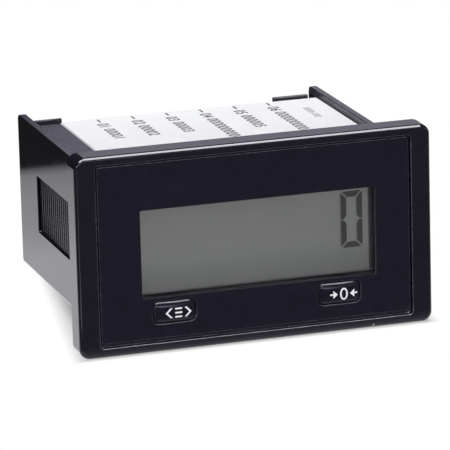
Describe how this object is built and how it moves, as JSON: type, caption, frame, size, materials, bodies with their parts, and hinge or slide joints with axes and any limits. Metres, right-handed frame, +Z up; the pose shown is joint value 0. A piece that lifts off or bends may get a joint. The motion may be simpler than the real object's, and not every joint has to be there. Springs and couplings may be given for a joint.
{
  "type": "electronic counter",
  "caption": "Panel-mounted electronic counter with a recessed liquid-crystal display, two push keys, side latch racks and a rear terminal block with rising clamps.",
  "frame": {"origin": "middle of the bounding box, at the level of the bezel's lower edge", "axes": "+X to the right as the face is read, +Y from the face back to the terminals, +Z up"},
  "size_m": [0.0762, 0.0604, 0.0422],
  "materials": {
    "gloss_black": "polished moulded black",
    "overlay_black": "smooth gloss film",
    "key_black": "polished, crowned",
    "clear_pane": "clear",
    "display_film": "satin grey-green film",
    "display_glass": "polished",
    "frame_grey": "matt",
    "zebra_rubber": "matt",
    "circuit_board": "satin solder mask",
    "component_black": "matt epoxy",
    "component_tan": "satin",
    "tin_plate": "tinned",
    "steel": "zinc plated",
    "brass": "nickel-free brass",
    "terminal_black": "satin moulded black",
    "label_white": "satin printed film"
  },
  "bodies": {
    "counter_body": {"housing": "gloss_black", "rear_cover": "gloss_black", "front_overlay": "overlay_black", "window_lens": "clear_pane", "lcd_front_polarizer": "display_film", "lcd_rear_reflector": "display_film", "lcd_front_glass": "display_glass", "lcd_rear_glass": "display_glass", "lcd_frame": "frame_grey", "zebra_strip": "zebra_rubber", "display_board": "circuit_board", "main_board": "circuit_board", "select_switch": "component_black", "reset_switch": "component_black", "counter_chip": "component_black", "board_header": "component_black", "capacitor_1": "component_black", "capacitor_2": "component_black", "optocoupler_1": "component_black", "optocoupler_2": "component_black", "resistor_1": "component_tan", "resistor_2": "component_tan", "resistor_3": "component_tan", "resistor_4": "component_tan", "battery": "tin_plate", "battery_lower_tab": "tin_plate", "battery_upper_tab": "tin_plate", "terminal_contact_1": "tin_plate", "terminal_contact_2": "tin_plate", "terminal_contact_3": "tin_plate", "terminal_contact_4": "tin_plate", "terminal_contact_5": "tin_plate", "terminal_contact_6": "tin_plate", "crystal": "steel", "display_board_screw_1": "steel", "display_board_screw_2": "steel", "display_board_screw_3": "steel", "display_board_screw_4": "steel", "terminal_block": "terminal_black", "top_label": "label_white"},
    "select_key_body": {"select_key": "key_black", "select_switch_plunger": "component_tan"},
    "reset_key_body": {"reset_key": "key_black", "reset_switch_plunger": "component_tan"},
    "terminal_screw_body_1": {"terminal_screw_1": "steel"},
    "clamp_body_1": {"clamp_cage_1": "brass"},
    "terminal_screw_body_2": {"terminal_screw_2": "steel"},
    "clamp_body_2": {"clamp_cage_2": "brass"},
    "terminal_screw_body_3": {"terminal_screw_3": "steel"},
    "clamp_body_3": {"clamp_cage_3": "brass"},
    "terminal_screw_body_4": {"terminal_screw_4": "steel"},
    "clamp_body_4": {"clamp_cage_4": "brass"},
    "terminal_screw_body_5": {"terminal_screw_5": "steel"},
    "clamp_body_5": {"clamp_cage_5": "brass"},
    "terminal_screw_body_6": {"terminal_screw_6": "steel"},
    "clamp_body_6": {"clamp_cage_6": "brass"}
  },
  "joints": [
    {"name": "select_key_press", "type": "slide", "parent": "counter_body", "child": "select_key_body", "axis": [0, 1, 0], "range_m": [0, 0.0005], "stiffness_N_per_m": 1500, "springref_m": -0.0003},
    {"name": "reset_key_press", "type": "slide", "parent": "counter_body", "child": "reset_key_body", "axis": [0, 1, 0], "range_m": [0, 0.0005], "stiffness_N_per_m": 1500, "springref_m": -0.0003},
    {"name": "terminal_screw_1_turn", "type": "hinge", "parent": "counter_body", "child": "terminal_screw_body_1", "pos_m": [-0.01815, 0.02695, 0.0314], "axis": [0, 0, -1], "range_deg": [0, 1515]},
    {"name": "terminal_screw_2_turn", "type": "hinge", "parent": "counter_body", "child": "terminal_screw_body_2", "pos_m": [-0.01053, 0.02695, 0.0314], "axis": [0, 0, -1], "range_deg": [0, 1515]},
    {"name": "terminal_screw_3_turn", "type": "hinge", "parent": "counter_body", "child": "terminal_screw_body_3", "pos_m": [-0.00291, 0.02695, 0.0314], "axis": [0, 0, -1], "range_deg": [0, 1515]},
    {"name": "terminal_screw_4_turn", "type": "hinge", "parent": "counter_body", "child": "terminal_screw_body_4", "pos_m": [0.00471, 0.02695, 0.0314], "axis": [0, 0, -1], "range_deg": [0, 1515]},
    {"name": "terminal_screw_5_turn", "type": "hinge", "parent": "counter_body", "child": "terminal_screw_body_5", "pos_m": [0.01233, 0.02695, 0.0314], "axis": [0, 0, -1], "range_deg": [0, 1515]},
    {"name": "terminal_screw_6_turn", "type": "hinge", "parent": "counter_body", "child": "terminal_screw_body_6", "pos_m": [0.01995, 0.02695, 0.0314], "axis": [0, 0, -1], "range_deg": [0, 1515]},
    {"name": "clamp_1_rise", "type": "slide", "parent": "counter_body", "child": "clamp_body_1", "axis": [0, 0, 1], "range_m": [0, 0.0021]},
    {"name": "clamp_2_rise", "type": "slide", "parent": "counter_body", "child": "clamp_body_2", "axis": [0, 0, 1], "range_m": [0, 0.0021]},
    {"name": "clamp_3_rise", "type": "slide", "parent": "counter_body", "child": "clamp_body_3", "axis": [0, 0, 1], "range_m": [0, 0.0021]},
    {"name": "clamp_4_rise", "type": "slide", "parent": "counter_body", "child": "clamp_body_4", "axis": [0, 0, 1], "range_m": [0, 0.0021]},
    {"name": "clamp_5_rise", "type": "slide", "parent": "counter_body", "child": "clamp_body_5", "axis": [0, 0, 1], "range_m": [0, 0.0021]},
    {"name": "clamp_6_rise", "type": "slide", "parent": "counter_body", "child": "clamp_body_6", "axis": [0, 0, 1], "range_m": [0, 0.0021]}
  ],
  "couplings": [
    {"joint": "terminal_screw_1_turn", "follows": "clamp_1_rise", "rad_per_m": 12566},
    {"joint": "terminal_screw_2_turn", "follows": "clamp_2_rise", "rad_per_m": 12566},
    {"joint": "terminal_screw_3_turn", "follows": "clamp_3_rise", "rad_per_m": 12566},
    {"joint": "terminal_screw_4_turn", "follows": "clamp_4_rise", "rad_per_m": 12566},
    {"joint": "terminal_screw_5_turn", "follows": "clamp_5_rise", "rad_per_m": 12566},
    {"joint": "terminal_screw_6_turn", "follows": "clamp_6_rise", "rad_per_m": 12566}
  ]
}
